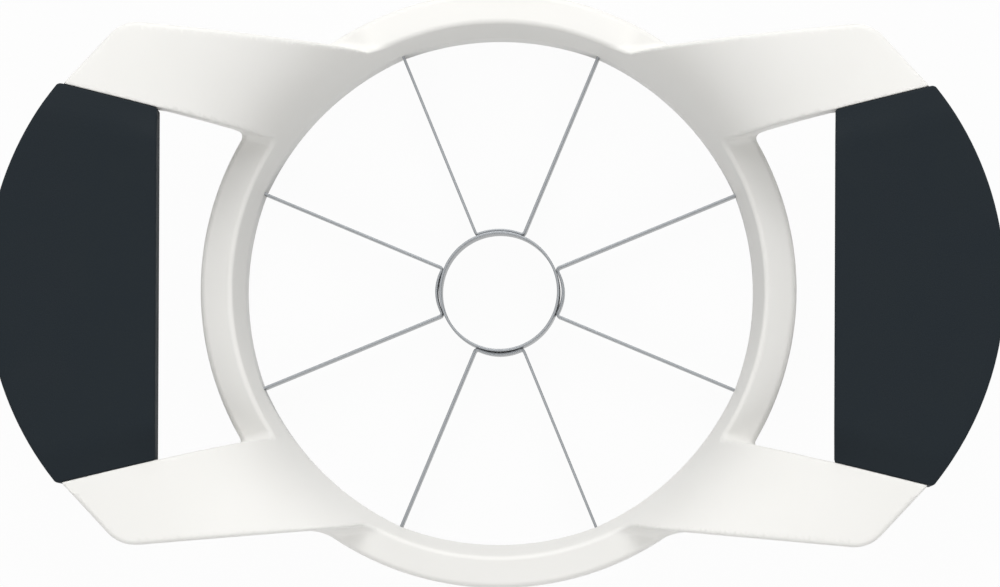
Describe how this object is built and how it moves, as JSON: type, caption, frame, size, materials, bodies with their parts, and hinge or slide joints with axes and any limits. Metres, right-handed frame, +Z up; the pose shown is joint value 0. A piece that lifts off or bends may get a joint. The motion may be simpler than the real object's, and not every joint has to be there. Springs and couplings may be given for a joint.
{
  "type": "apple slicer",
  "caption": "Hand press that cores and cuts an apple into wedges: a white moulded ring with radial steel blades, a coring tube, and raised handles with soft dark grips.",
  "frame": {"origin": "middle of the ring at table height, on the axis of the coring tube", "axes": "+X through the right grip, +Y away from the front of the ring, +Z up, against the direction of the cut"},
  "size_m": [0.1832, 0.1072, 0.0396],
  "materials": {
    "white_abs": "satin moulded white plastic",
    "grip_tpe": "matt moulded soft rubber",
    "stainless_steel": "cold-rolled sheet with a fine brushed grain"
  },
  "bodies": {
    "root": {"frame": "white_abs", "grip_right": "grip_tpe", "grip_left": "grip_tpe", "coring_tube": "stainless_steel", "blade_strip_east": "stainless_steel", "blade_strip_north": "stainless_steel", "blade_strip_west": "stainless_steel", "blade_strip_south": "stainless_steel"}
  },
  "joints": []
}
